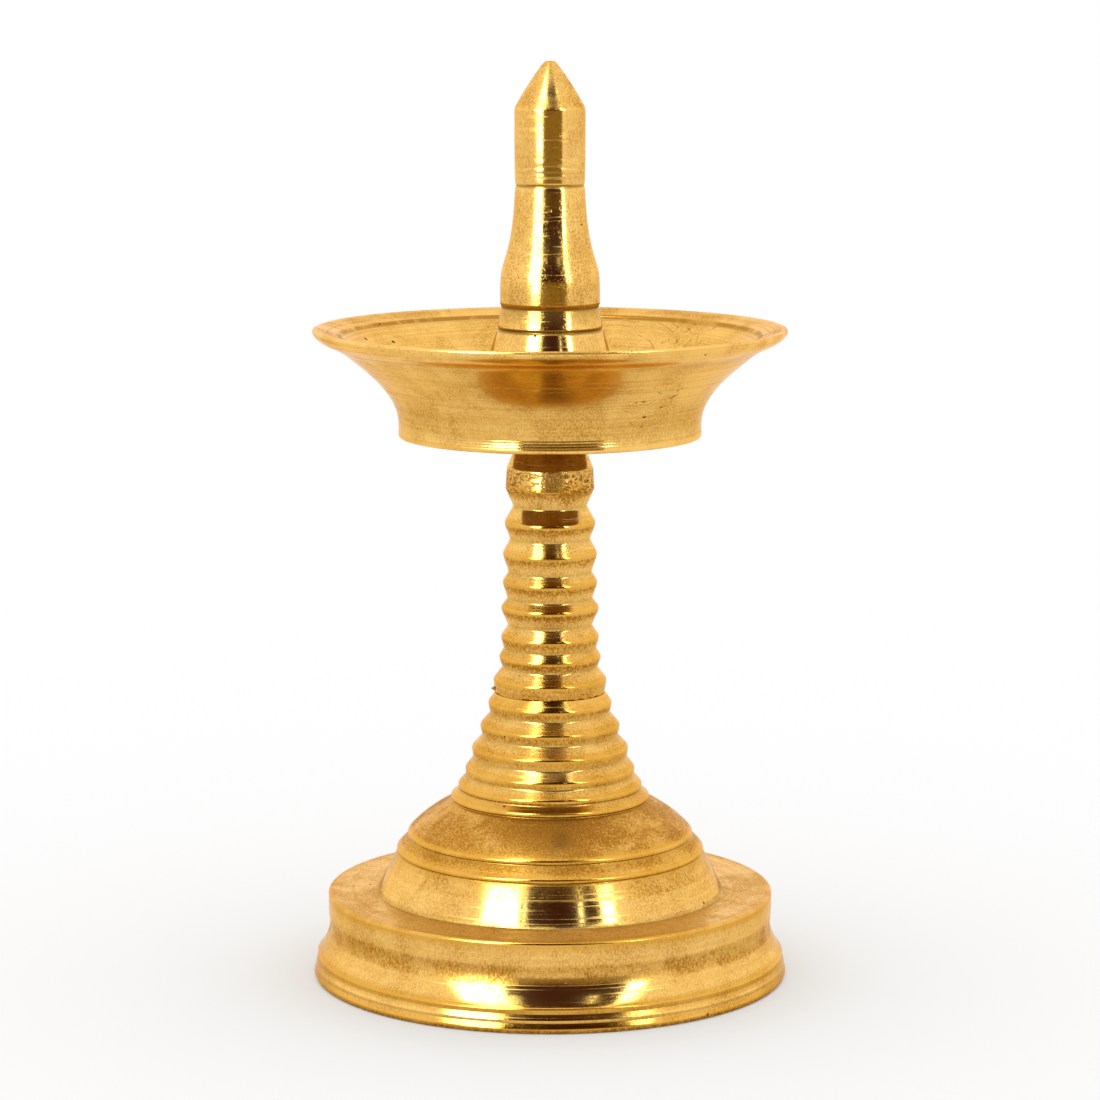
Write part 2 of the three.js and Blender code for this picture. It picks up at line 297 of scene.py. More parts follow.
def section_outline(node):
    """Corners (radius, height) of a turned node in metres, in order along its section."""
    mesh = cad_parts[node].data
    corner = {}
    for vertex in mesh.vertices:
        x, y, z = vertex.co
        if abs(x) < ON_SECTION and y < ON_SECTION:
            corner[vertex.index] = (round(max(-y, 0), 7), round(z, 7))
    joined = {}
    for polygon in mesh.polygons:
        for a, b in polygon.edge_keys:
            if a in corner and b in corner and corner[a] != corner[b]:
                joined.setdefault(corner[a], set()).add(corner[b])
                joined.setdefault(corner[b], set()).add(corner[a])
    ends = [point for point, beside in joined.items() if len(beside) == 1]
    start = min(ends or joined, key=lambda point: point[1])
    outline = [start]
    while True:
        onward = [p for p in joined[outline[-1]] if p not in outline]
        if not onward:
            break
        outline.append(min(onward, key=lambda p: math.dist(p, outline[-1])))
    if not ends:
        outline.append(start)
    return outline


for node in ("base", "stem", "oil_bowl", "spire"):
    print(node, "outline corners:", len(section_outline(node)))

# %% [markdown]
# ## Easing the corners
# A lathe tool and a buffing wheel leave no perfect corner. Each corner of the outline becomes a
# small curve: a gentle bend takes all the room up to its neighbours, so that a row of short
# straight steps turns into one smooth sweep, and a true edge is only broken by a fraction of a
# millimetre. The two faces that meet at the joint in the stem stay crisp, so that the joint shows
# as a thin line. A bevel modifier on the finished mesh would cost far more faces.

# %% Easing the corners
GENTLE_BEND = math.radians(17)
BOWL_BEND = math.radians(28)
EDGE_EASE = 0.18 * MM
RIM_EASE = 0.8 * MM
JOINT_EASE = 0.03 * MM
JOINT_HEIGHT = 47.35 * MM
EDGE_SHARE = 0.45
LONG_FLAT = 4
GUARD = 2
CURVE_STEPS = 5


def curve_through(a, corner, b):
    """Points of a quadratic curve from a to b that leans on corner."""
    points = []
    for step in range(CURVE_STEPS + 1):
        t = step / CURVE_STEPS
        points.append(a * (1 - t) ** 2 + corner * (2 * t * (1 - t)) + b * t**2)
    return points


def eased(outline, gentle=GENTLE_BEND, ease=EDGE_EASE):
    """The outline with every corner rounded, and guard points that keep long flats flat."""
    corners = [Vector(point) for point in outline]
    closed = outline[0] == outline[-1]
    ring = corners[:-1] if closed else corners
    smooth = [] if closed else [corners[0]]
    for i, corner in enumerate(ring):
        if not closed and i in (0, len(ring) - 1):
            continue
        before = ring[i - 1] - corner
        after = ring[(i + 1) % len(ring)] - corner
        bend = math.pi - before.angle(after)
        if bend < gentle:
            reach = (before.length / 2, after.length / 2)
        else:
            at_joint = abs(corner.y - JOINT_HEIGHT) < EDGE_EASE
            most = JOINT_EASE if at_joint else ease
            reach = (min(most, before.length * EDGE_SHARE), min(most, after.length * EDGE_SHARE))
        a = corner + before.normalized() * reach[0]
        b = corner + after.normalized() * reach[1]
        if bend >= gentle and before.length > LONG_FLAT * ease:
            smooth.append(corner + before.normalized() * GUARD * reach[0])
        smooth += curve_through(a, corner, b)
        if bend >= gentle and after.length > LONG_FLAT * ease:
            smooth.append(corner + after.normalized() * GUARD * reach[1])
    smooth.append(smooth[0] if closed else corners[-1])
    return smooth


def reshaped(outline, low, high, count, shift):
    """The rising run between two heights, redrawn with each point moved out by shift(share)."""
    heights = [point[1] for point in outline]
    before = next(i for i in range(len(outline)) if heights[i] <= low < heights[i + 1])
    after = next(i for i in range(before, len(outline)) if heights[i] >= high)
    run = outline[before : after + 1]
    redrawn = []
    for step in range(count + 1):
        share = step / count
        z = low + (high - low) * share
        r = np.interp(z, [point[1] for point in run], [point[0] for point in run])
        redrawn.append(Vector((r + shift(share), z)))
    return outline[: before + 1] + redrawn + outline[after:]


def filled(outline, longest):
    """The outline with points added so that no step is longer than the longest allowed."""
    dense = [outline[0]]
    for here, there in zip(outline, outline[1:]):
        pieces = math.ceil((there - here).length / longest)
        dense += [here.lerp(there, (step + 1) / pieces) for step in range(pieces)]
    return dense


print("eased base outline points:", len(eased(section_outline("base"))))

# %% [markdown]
# ## Finding hollows, ridges and undersides
# Tarnish and polishing paste stay in grooves, while the wheel brightens whatever stands proud.
# For each point of the outline a chord is laid between its neighbours a little way off on both
# sides: a point inside the chord lies in a hollow, a point outside it on a ridge. The faces close
# to each ridge, and most of all the downward face just under it, are marked for painted shade. The
# part of the outline before its lowest point is the inside of the casting, which is never buffed;
# it and the lowest faces are darkened, partly as that tarnish and partly as painted shade.

# %% Finding hollows, ridges and undersides
CHORD_REACHES = (0.35 * MM, 0.8 * MM)
FULL_DEPTH = 0.35
UNDERSIDE = 0.05 * MM
RIDGE_SHADE = 0.8 * MM
CREST_SHARE = 0.5
OVERHANG_GAIN = 4
OVERHANG_FROM = 0.3
TINY = MM / 1000


def wear_marks(points):
    """Shares, 0 to 1, of each kind of wear and painted shade at each outline point."""
    r, z = np.array(points).T
    along = np.concatenate(([0], np.cumsum(np.hypot(np.diff(r), np.diff(z)))))
    turn = np.sum(r[:-1] * z[1:] - r[1:] * z[:-1]) + r[-1] * z[0] - r[0] * z[-1]
    hollow = np.zeros(len(r))
    ridge = np.zeros(len(r))
    for reach in CHORD_REACHES:
        ar, az = (np.interp(along - reach, along, v) for v in (r, z))
        br, bz = (np.interp(along + reach, along, v) for v in (r, z))
        cross = (br - ar) * (z - az) - (bz - az) * (r - ar)
        chord = np.maximum(np.hypot(br - ar, bz - az), TINY)
        depth = np.sign(turn) * cross / chord / (reach * FULL_DEPTH)
        hollow = np.maximum(hollow, depth)
        ridge = np.maximum(ridge, -depth)
    slope = np.gradient(r) / np.maximum(np.hypot(np.gradient(r), np.gradient(z)), TINY)
    overhang = np.clip(np.sign(turn) * slope * OVERHANG_GAIN - OVERHANG_FROM, 0, 1)
    crests = along[ridge > CREST_SHARE]
    to_crest = np.abs(along[:, None] - crests[None, :]).min(axis=1, initial=1.0)
    beside = np.exp(-((to_crest / RIDGE_SHADE) ** 2))
    lowest = np.argmax(z < z.min() + UNDERSIDE)
    # Undersides and the inside: partly unbuffed tarnish, partly painted shade.
    under = (np.arange(len(r)) < lowest) | (z < z.min() + UNDERSIDE)
    return {
        "hollow": np.clip(hollow, 0, 1),
        "ridge": np.clip(ridge, 0, 1),
        # The next two marks carry painted shade: close to each ridge, and on the downward face just
        # under it.
        "beside": beside,
        "shade_under_ridge": beside * overhang,
        "under": under,
    }


stem_hollows = wear_marks(eased(section_outline("stem")))["hollow"]
print("stem outline points in hollows:", np.count_nonzero(stem_hollows > CREST_SHARE))

# %% [markdown]
# ## Turning a piece
# The lathe itself: a plane is merged to one vertex, the vertex is extruded along the outline,
# and the line is spun once round the axis. The seam and the points on the axis are then merged,
# and the normals made to point outwards. A screw modifier would do the same, but the spin shows
# each step. The wear marks are kept on the mesh for the finish to use.

# %% Turning a piece
SEED = 1 * MM
MERGE = 1e-7
SIDES = 144


def start_vertex(name, place):
    """A new object in edit mode with one selected vertex."""
    bpy.ops.object.select_all(action="DESELECT")
    bpy.ops.mesh.primitive_plane_add(size=SEED)
    bpy.context.object.name = name
    bpy.ops.object.mode_set(mode="EDIT")
    bpy.ops.mesh.select_all(action="SELECT")
    bpy.ops.mesh.merge(type="CENTER")
    bpy.ops.transform.translate(value=place)
    return bpy.context.object


def draw_outline(outline):
    """Extrude the selected vertex along an outline of (radius, height) points."""
    for here, there in zip(outline, outline[1:]):
        step = (there[0] - here[0], 0, there[1] - here[1])
        bpy.ops.mesh.extrude_region_move(TRANSFORM_OT_translate={"value": step})
    bpy.ops.mesh.select_all(action="SELECT")
    bpy.ops.mesh.remove_doubles(threshold=MERGE)


def mark(piece, outline):
    """Write the wear marks of the outline on the vertices turned from it."""
    tree = KDTree(len(outline))
    for i, point in enumerate(outline):
        tree.insert((point[0], 0, point[1]), i)
    tree.balance()
    nearest = []
    for vertex in piece.data.vertices:
        x, y, z = vertex.co
        nearest.append(tree.find((math.hypot(x, y), 0, z))[1])
    for name, values in wear_marks(outline).items():
        marks = piece.data.attributes.new(name, "FLOAT", "POINT")
        marks.data.foreach_set("value", values[nearest].astype(np.float32))


def turned(name, outline, sides=SIDES):
    """A solid of revolution about the lamp's axis, from an outline of (radius, height) points."""
    piece = start_vertex(name, (outline[0][0], 0, outline[0][1]))
    draw_outline(outline)
    bpy.ops.mesh.spin(steps=sides, angle=2 * math.pi, center=(0, 0, 0), axis=(0, 0, 1))
    bpy.ops.mesh.select_all(action="SELECT")
    bpy.ops.mesh.remove_doubles(threshold=MERGE)
    bpy.ops.mesh.normals_make_consistent(inside=False)
    bpy.ops.object.mode_set(mode="OBJECT")
    bpy.ops.object.shade_smooth()
    mark(piece, outline)
    print(name, "faces:", len(piece.data.polygons))
    return piece


print("sides round each piece:", SIDES)

# %% [markdown]
# ## Shared effects
# The finish is made of a few effects that several pieces share, each a node group with its own
# settings: marks of the lathe, of the mould and of the years. A group is built once and placed in
# every brass that needs it, so a change to it shows on the whole lamp. Image textures would be
# quicker to make, but they would stretch over the turned faces.

# %% Shared effects
VECTOR = "NodeSocketVector"
FLOAT = "NodeSocketFloat"
PER_MM = 1 / MM


def new_group(name, inputs, outputs):
    """A shader group with its sockets, and the sockets to build from and to."""
    tree = bpy.data.node_groups.new(name, "ShaderNodeTree")
    tree.interface.new_socket("Position", in_out="INPUT", socket_type=VECTOR)
    for label, value in inputs.items():
        socket = tree.interface.new_socket(label, in_out="INPUT", socket_type=FLOAT)
        socket.default_value = value
    for label in outputs:
        tree.interface.new_socket(label, in_out="OUTPUT", socket_type=FLOAT)
    given = tree.nodes.new("NodeGroupInput").outputs
    result = tree.nodes.new("NodeGroupOutput").inputs
    return tree, given, result


def use(tree, group, **inputs):
    """The outputs of a shared group, placed in a tree."""
    made = tree.nodes.new("ShaderNodeGroup")
    made.node_tree = group
    feed(tree, made, inputs)
    return made.outputs


def noise(tree, place, scale, detail, roughness=0.5, distortion=0.0):
    """The value of a noise texture."""
    inputs = {
        "Vector": place,
        "Scale": scale,
        "Detail": detail,
        "Roughness": roughness,
        "Distortion": distortion,
    }
    return wire(tree, "ShaderNodeTexNoise", inputs).outputs[0]


print("effects are measured in mm:", PER_MM, "to the metre")

# %% [markdown]
# ## Place on the lathe
# On a turned piece the useful directions are out from the axis, up along it and round it. This
# group works them out once, in millimetres. The way round is kept as a cosine and a sine, because
# an angle would jump where the circle closes.

# %% Place on the lathe
NEAR_AXIS = 1e-6

lathe_place, given, result = new_group("lathe_place", {}, ("Radius", "Height", "Cosine", "Sine"))
parts = wire(lathe_place, "ShaderNodeSeparateXYZ", {0: given["Position"]}).outputs
squares = plus(
    lathe_place,
    times(lathe_place, parts["X"], parts["X"]),
    times(lathe_place, parts["Y"], parts["Y"]),
)
across = maths(lathe_place, "MAXIMUM", maths(lathe_place, "SQRT", squares), NEAR_AXIS)
lathe_place.links.new(times(lathe_place, across, PER_MM), result["Radius"])
lathe_place.links.new(times(lathe_place, parts["Z"], PER_MM), result["Height"])
lathe_place.links.new(maths(lathe_place, "DIVIDE", parts["X"], across), result["Cosine"])
lathe_place.links.new(maths(lathe_place, "DIVIDE", parts["Y"], across), result["Sine"])
print("group:", lathe_place.name)

# %% [markdown]
# ## Turning lines and cast grain
# Turning lines are noise drawn out round the axis, fine across the tool's path and long along it.
# Cast grain is the skin of the sand mould where the tool did not cut deep, mixed with slanted
# strokes of the file. A plain noise would look like dust on both.

# %% Turning lines and cast grain
FILE_SLANT = math.radians(38)
STROKES_PER_GRAIN = 1.6
STROKE_SQUASH = (1, 1, 0.3)
SPECKLE_LOW, SPECKLE_HIGH = 0.43, 0.58

turning_lines, given, result = new_group(
    "turning_lines", {"Pitch": 0.5, "Slant": -0.7, "Wander": 0.8}, ("Height",)
)
at = use(turning_lines, lathe_place, Position=given["Position"])
leaning = maths(turning_lines, "MULTIPLY_ADD", at["Radius"], given["Slant"], at["Height"])
path = wire(
    turning_lines,
    "ShaderNodeCombineXYZ",
    {
        0: maths(turning_lines, "DIVIDE", leaning, given["Pitch"]),
        1: times(turning_lines, at["Cosine"], given["Wander"]),
        2: times(turning_lines, at["Sine"], given["Wander"]),
    },
).outputs[0]
turning_lines.links.new(noise(turning_lines, path, 1.0, 2.0), result["Height"])

cast_grain, given, result = new_group("cast_grain", {"Size": 0.5}, ("Height", "Speckle"))
count = maths(cast_grain, "DIVIDE", PER_MM, given["Size"])
filed = wire(
    cast_grain,
    "ShaderNodeMapping",
    {"Vector": given["Position"], "Rotation": (0, FILE_SLANT, 0), "Scale": STROKE_SQUASH},
).outputs[0]
grains = noise(cast_grain, given["Position"], count, 2.0, 0.6)
strokes = noise(cast_grain, filed, times(cast_grain, count, STROKES_PER_GRAIN), 2.0)
cast_grain.links.new(plus(cast_grain, grains, strokes), result["Height"])
both = plus(cast_grain, times(cast_grain, grains, 0.5), times(cast_grain, strokes, 0.5))
speckle = ramp(cast_grain, both, SPECKLE_LOW, SPECKLE_HIGH)
cast_grain.links.new(speckle, result["Speckle"])
print("groups:", turning_lines.name, "and", cast_grain.name)

# %% [markdown]
# ## Stains and pores
# Stains are the brown clouds of tarnish, a soft noise cut to a mask. Pores are small dark holes
# that gas left in the casting: a few cells of a Voronoi pattern are picked by chance, and each gets
# one hole of its own size.

# %% Stains and pores
CLOUD_LOW, CLOUD_HIGH = 0.36, 0.66
SMALLEST_PORE = 0.03
PORE_CORE, PORE_EDGE = 0.6, 1.2

stains, given, result = new_group("stains", {"Size": 8.0}, ("Mask",))
count = maths(stains, "DIVIDE", PER_MM, given["Size"])
cloud = noise(stains, given["Position"], count, 5.0, 0.62, 0.4)
stains.links.new(ramp(stains, cloud, CLOUD_LOW, CLOUD_HIGH), result["Mask"])

pores, given, result = new_group("pores", {"Spacing": 2.5, "Share": 0.3, "Size": 0.1}, ("Mask",))
count = maths(pores, "DIVIDE", PER_MM, given["Spacing"])
cells = wire(pores, "ShaderNodeTexVoronoi", {"Vector": given["Position"], "Scale": count}).outputs
pick = wire(pores, "ShaderNodeSeparateColor", {0: cells["Color"]}).outputs
chosen = maths(pores, "LESS_THAN", pick[0], given["Share"])
size = maths(pores, "MULTIPLY_ADD", pick[1], given["Size"], SMALLEST_PORE)
hole = ramp(pores, maths(pores, "DIVIDE", cells["Distance"], size), PORE_CORE, PORE_EDGE, 1.0, 0.0)
pores.links.new(times(pores, hole, chosen), result["Mask"])
print("groups:", stains.name, "and", pores.name)

# %% [markdown]
# ## Zones, rings and scratches
# A height zone picks the faces between two heights, with soft ends. A stain ring picks a thin ring
# of a given radius and height, such as the dirt under a lip. Scratches are arcs from a scourer,
# drawn as rings about a point beside the lamp and broken by a noise.

# %% Zones, rings and scratches
RING_CORE = 0.4
WOBBLE_SIZE, GAP_SIZE = 6, 3
ARC_LOW, ARC_HIGH = 0.7, 0.9
GAP_LOW, GAP_HIGH = 0.46, 0.56

height_zone, given, result = new_group(
    "height_zone", {"Low": 0.0, "High": 10.0, "Soft": 0.4}, ("Mask",)
)
at = use(height_zone, lathe_place, Position=given["Position"])
above = maths(height_zone, "SUBTRACT", at["Height"], given["Low"])
above = ramp(height_zone, maths(height_zone, "DIVIDE", above, given["Soft"]), -1.0, 1.0)
below = maths(height_zone, "SUBTRACT", given["High"], at["Height"])
below = ramp(height_zone, maths(height_zone, "DIVIDE", below, given["Soft"]), -1.0, 1.0)
height_zone.links.new(times(height_zone, above, below), result["Mask"])

stain_ring, given, result = new_group(
    "stain_ring", {"Radius": 0.0, "Height": 0.0, "Width": 0.4}, ("Mask",)
)
at = use(stain_ring, lathe_place, Position=given["Position"])
aside = maths(stain_ring, "SUBTRACT", at["Radius"], given["Radius"])
aloft = maths(stain_ring, "SUBTRACT", at["Height"], given["Height"])
squares = plus(stain_ring, times(stain_ring, aside, aside), times(stain_ring, aloft, aloft))
away = maths(stain_ring, "DIVIDE", maths(stain_ring, "SQRT", squares), given["Width"])
stain_ring.links.new(ramp(stain_ring, away, RING_CORE, 1.0, 1.0, 0.0), result["Mask"])

scratch_settings = {"Across": 0.0, "Along": 0.0, "Inner": 10.0, "Outer": 20.0, "Spacing": 1.0}
scratches, given, result = new_group("scratches", scratch_settings, ("Mask",))
spot = wire(scratches, "ShaderNodeSeparateXYZ", {0: given["Position"]}).outputs
across = maths(scratches, "SUBTRACT", times(scratches, spot["X"], PER_MM), given["Across"])
along = maths(scratches, "SUBTRACT", times(scratches, spot["Y"], PER_MM), given["Along"])
squares = plus(scratches, times(scratches, across, across), times(scratches, along, along))
reach = maths(scratches, "SQRT", squares)
wobble = noise(scratches, given["Position"], PER_MM / WOBBLE_SIZE, 1.0)
lines = maths(scratches, "DIVIDE", plus(scratches, reach, wobble), given["Spacing"])
lines = maths(scratches, "PINGPONG", lines, 1.0)
lines = ramp(scratches, lines, ARC_LOW, ARC_HIGH)
within = maths(scratches, "GREATER_THAN", reach, given["Inner"])
within = times(scratches, within, maths(scratches, "LESS_THAN", reach, given["Outer"]))
gaps = noise(scratches, given["Position"], PER_MM / GAP_SIZE, 1.0)
broken = ramp(scratches, gaps, GAP_LOW, GAP_HIGH)
scratches.links.new(times(scratches, lines, within, broken), result["Mask"])
print("finish groups:", [group.name for group in bpy.data.node_groups])

# %% [markdown]
# ## Brass
# Bright brass is a clear yellow metal. Where the wheel did not reach it goes dull and brown: in
# clouds on the cast faces and in specks between the grains. Close to and under the ridges it is
# darkened as painted shade, and the undersides partly as tarnish and partly as painted shade. A
# face left quite rough carries some oxide, which is no metal, and old polish leaves an olive crust
# in the grooves.
# One recipe serves all pieces, and each piece says where its own skin is left rough or stained.
# The alternative, a paint layer for each piece, could not be moved to another size of lamp.

# %% Colours and shares of the brass
BRIGHT = (0.97, 0.70, 0.215, 1)
WARM = (0.74, 0.44, 0.068, 1)
BROWN = (0.40, 0.19, 0.02, 1)
CRUST = (0.32, 0.22, 0.035, 1)
SOOT = (0.04, 0.016, 0.006, 1)
# Colour of the undersides: painted shade over the brown of unbuffed tarnish.
UNDER_SHADE_AND_TARNISH = (0.17, 0.07, 0.012, 1)
EDGE_TINT = (1.0, 0.86, 0.6, 1)
MICRON = 1e-6
GRAIN_SIZE, SPECK_SIZE, CLOUD_SIZE = 0.4, 0.3, 7.0
PORE_SHARE = 0.05
UNDER_SHARE = 0.85
CLEAREST = 0.3
MOST_TINT = 0.8
SOIL_FILM, CLOUD_FILM, BARE_GRAIN = 0.8, 0.12, 0.15
CLOUD_SPECKS, SKIN_SPECKS = 0.2, 0.35
RIDGE_WIPED = 0.3
# The beside share is painted shade close to the ridges.
DULL = {"cloud": 0.1, "cloud on skin": 0.4, "soil": 0.4, "beside": 0.5}
STREAK_LOW, STREAK_HIGH = 0.42, 0.62
CUT_LOW, CUT_HIGH = 0.58, 0.68
OXIDE_FROM, OXIDE_FULL, MOST_OXIDE, CRUST_OXIDE = 1.0, 1.5, 0.35, 0.3
ROUGHEST = 0.7
ROUGHER = {"skin": 0.22, "dirt": 0.15, "streak": 0.1, "line": 0.15, "hole": 0.4, "under": 0.35}
RELIEF = {"line": 1.5, "line on skin": 5.0, "grain": 1.0, "grain on skin": 14.0}
DEPTH = {"hole": -60.0, "smear": -8.0}
print("bright brass:", BRIGHT[:3])


# %% Zones of a piece
def zone_shares(tree, place, zones):
    """How rough and how soiled a piece is; zones are (low mm, high mm, rough share, dirt share)."""
    rough = 0.0
    soil = 0.0
    for low, high, rough_share, dirt_share in zones:
        zone = use(tree, height_zone, Position=place, Low=low, High=high)["Mask"]
        rough = plus(tree, times(tree, zone, rough_share), rough)
        soil = plus(tree, times(tree, zone, dirt_share), soil)
    return rough, soil


def wear_masks(tree):
    """The wear and painted shade marks that were written on the mesh when the piece was turned."""
    masks = []
    for kind in ("hollow", "ridge", "beside", "shade_under_ridge", "under"):
        masks.append(wire(tree, "ShaderNodeAttribute", {}, attribute_name=kind).outputs["Fac"])
    return masks


print("a zone gives its heights, its roughness and its dirt")


# %% Worn brass
def brass_material(
    name,
    zones,
    slant=-0.7,
    polish=0.07,
    streaks=0.2,
    groove=0.25,
    shade=1.0,
    specks=0.12,
    marks=None,
):
    """Worn brass, rough and soiled by zones, with painted shade near the ridges and on the
    undersides, and marks that belong to one piece.
    """
    material = plain_material(name, BRIGHT[:3], polish)
    tree = material.node_tree
    shader = tree.nodes["Principled BSDF"]
    shader.inputs["Specular Tint"].default_value = EDGE_TINT
    place = tree.nodes.new("ShaderNodeTexCoord").outputs["Object"]
    hollow, ridge, beside, shade_under_ridge, under = wear_masks(tree)
    rough, soil = zone_shares(tree, place, zones)
    grain = use(tree, cast_grain, Position=place, Size=GRAIN_SIZE)
    fine = use(tree, cast_grain, Position=place, Size=SPECK_SIZE)["Speckle"]
    cloud = use(tree, stains, Position=place, Size=CLOUD_SIZE)["Mask"]
    lines = use(tree, turning_lines, Position=place, Slant=slant)["Height"]
    holes = use(tree, pores, Position=place, Share=PORE_SHARE)["Mask"]
    smear = 0.0
    if marks:
        more_holes, smear = marks(tree, place)
        holes = maths(tree, "MINIMUM", plus(tree, holes, more_holes), 1.0)

    patchy = maths(tree, "MULTIPLY_ADD", cloud, 1 - CLEAREST, CLEAREST)
    skin = times(tree, rough, patchy)
    tint = maths(tree, "MINIMUM", skin, MOST_TINT)
    stained = times(tree, soil, patchy, SOIL_FILM)
    # Tarnish film from soil and clouds, plus painted shade under the ridges.
    film_and_shade = plus(tree, stained, times(tree, shade_under_ridge, shade), times(tree, cloud, CLOUD_FILM))
    grainy = maths(tree, "MULTIPLY_ADD", grain["Speckle"], 1 - BARE_GRAIN, BARE_GRAIN)
    speckled = plus(tree, times(tree, cloud, CLOUD_SPECKS), times(tree, tint, SKIN_SPECKS), specks)
    dirt = plus(tree, times(tree, film_and_shade, grainy), times(tree, fine, speckled))
    dirt = maths(tree, "SUBTRACT", dirt, times(tree, ridge, RIDGE_WIPED), clamp=True)
    dirt = maths(tree, "MAXIMUM", dirt, smear)
    streak = times(tree, ramp(tree, lines, STREAK_LOW, STREAK_HIGH), streaks)
    clouded = maths(tree, "MULTIPLY_ADD", tint, DULL["cloud on skin"], DULL["cloud"])
    # Warmer brass from clouds, soil and streaks, plus painted shade close to the ridges.
    dull_and_shade = plus(
        tree,
        times(tree, cloud, clouded),
        times(tree, soil, DULL["soil"]),
        times(tree, beside, shade * DULL["beside"]),
        streak,
    )
    crust = maths(tree, "MINIMUM", times(tree, hollow, groove), 1.0)

    colour = blend(tree, maths(tree, "MINIMUM", dull_and_shade, 1.0), BRIGHT, WARM)
    colour = blend(tree, dirt, colour, BROWN)
    colour = blend(tree, crust, colour, CRUST)
    colour = blend(tree, holes, colour, SOOT)
    # Undersides and the inside of the casting are darkened: painted shade over the brown of
    # unbuffed tarnish.
    colour = blend(tree, times(tree, under, UNDER_SHARE), colour, UNDER_SHADE_AND_TARNISH)
    tree.links.new(colour, shader.inputs["Base Color"])

    span = {"From Min": OXIDE_FROM, "From Max": OXIDE_FULL, "To Min": 0.0, "To Max": MOST_OXIDE}
    oxide = wire(tree, "ShaderNodeMapRange", {"Value": rough, **span}).outputs[0]
    oxide = maths(tree, "MAXIMUM", oxide, times(tree, crust, CRUST_OXIDE))
    tree.links.new(maths(tree, "SUBTRACT", 1.0, oxide), shader.inputs["Metallic"])

    gloss = plus(
        tree,
        times(tree, skin, ROUGHER["skin"]),
        times(tree, dirt, ROUGHER["dirt"]),
        times(tree, streak, ROUGHER["streak"]),
        times(tree, ramp(tree, lines, CUT_LOW, CUT_HIGH), ROUGHER["line"]),
        times(tree, holes, ROUGHER["hole"]),
        times(tree, under, ROUGHER["under"]),
        polish,
    )
    tree.links.new(maths(tree, "MINIMUM", gloss, ROUGHEST), shader.inputs["Roughness"])

    line_relief = maths(tree, "MULTIPLY_ADD", skin, RELIEF["line on skin"], RELIEF["line"])
    grain_relief = maths(tree, "MULTIPLY_ADD", skin, RELIEF["grain on skin"], RELIEF["grain"])
    height = plus(
        tree,
        times(tree, lines, line_relief),
        times(tree, grain["Height"], grain_relief),
        times(tree, holes, DEPTH["hole"]),
        times(tree, smear, DEPTH["smear"]),
    )
    bump = wire(tree, "ShaderNodeBump", {"Height": height, "Distance": MICRON, "Strength": 1.0})
    tree.links.new(bump.outputs[0], shader.inputs["Normal"])
    return material


print("pits are", -DEPTH["hole"], "microns deep")

# %% [markdown]
# ## Where each piece is rough
# The heights below are the edges of the faces seen in the photograph, in millimetres. The upper
# cove, the band between the beads and above all the dome kept their cast skin, while the drum's
# side and the bowl took a high shine. Each zone is one line that can be changed by itself.

# %% Heights of the faces
LIP_TOP, COVE_MIDDLE, COVE_TOP, FOOT_TOP = 4.2, 7.3, 10.3, 14.2
DRUM_MIDDLE, DRUM_TOP, BAND_FOOT, BAND_TOP = 18.0, 20.6, 22.2, 23.3
DOME_FOOT, DOME_TOP, SEAM = 24.6, 29.4, JOINT_HEIGHT / MM
COLLAR_FOOT, BAND_LOW, BAND_HIGH, COLLAR_TOP = 78.4, 81.0, 84.7, 85.0
BOWL_FOOT, BOWL_BAND, FLOOR, RIM_LOW, RIM_TOP = 89.9, 92.3, 93.1, 106.6, 107.8
SCORE, SHANK_TOP, TIP = 130.4, 143.4, 150.8
print("joint in the stem, mm:", SEAM)

# %% [markdown]
# ## Marks of one piece
# Three pieces carry marks of their own. The stem's collar is pitted in short dashes, and the joint
# above the dome is black and broken. The bowl has two gas holes, a few nicks on one side, a brown
# line under its inner lip and two fans of scratches. The spire has brown specks below its scored
# line and dirt in its two cuts. Each set is a small function that a brass can be given, so that
# the shared recipe stays plain.

# %% Marks of the stem
DASH_SIZE, DASH_SQUASH = 0.9, 2.4
JOINT_EDGES = {"Low": SEAM - 0.1, "High": SEAM + 0.15, "Soft": 0.08}
BREAK_SIZE = 1.2


def dashed(tree, place, size, squash, detail, low, high):
    """Short level dashes of a size in mm: noise squashed in height and cut to a mask."""
    flat = {"Vector": place, "Scale": (1, 1, squash)}
    flattened = wire(tree, "ShaderNodeMapping", flat).outputs[0]
    return ramp(tree, noise(tree, flattened, PER_MM / size, detail), low, high)


def stem_marks(tree, place):
    """Short pits round the collar, a broken black joint, and brown strokes."""
    collar = use(tree, height_zone, Position=place, Low=BAND_LOW, High=BAND_HIGH)["Mask"]
    dashes = dashed(tree, place, DASH_SIZE, DASH_SQUASH, 2.0, 0.51, 0.59)
    pits = use(tree, pores, Position=place, Spacing=1.2, Share=0.35, Size=0.2)["Mask"]
    joint = use(tree, height_zone, Position=place, **JOINT_EDGES)["Mask"]
    broken = ramp(tree, noise(tree, place, PER_MM / BREAK_SIZE, 1.0), 0.5, 0.58)
    dents = plus(tree, pits, times(tree, dashes, 0.25))
    black = plus(tree, times(tree, collar, dents), times(tree, joint, broken))
    return black, times(tree, collar, dashes, 0.9)


print("pitted collar, mm:", BAND_LOW, "to", BAND_HIGH)

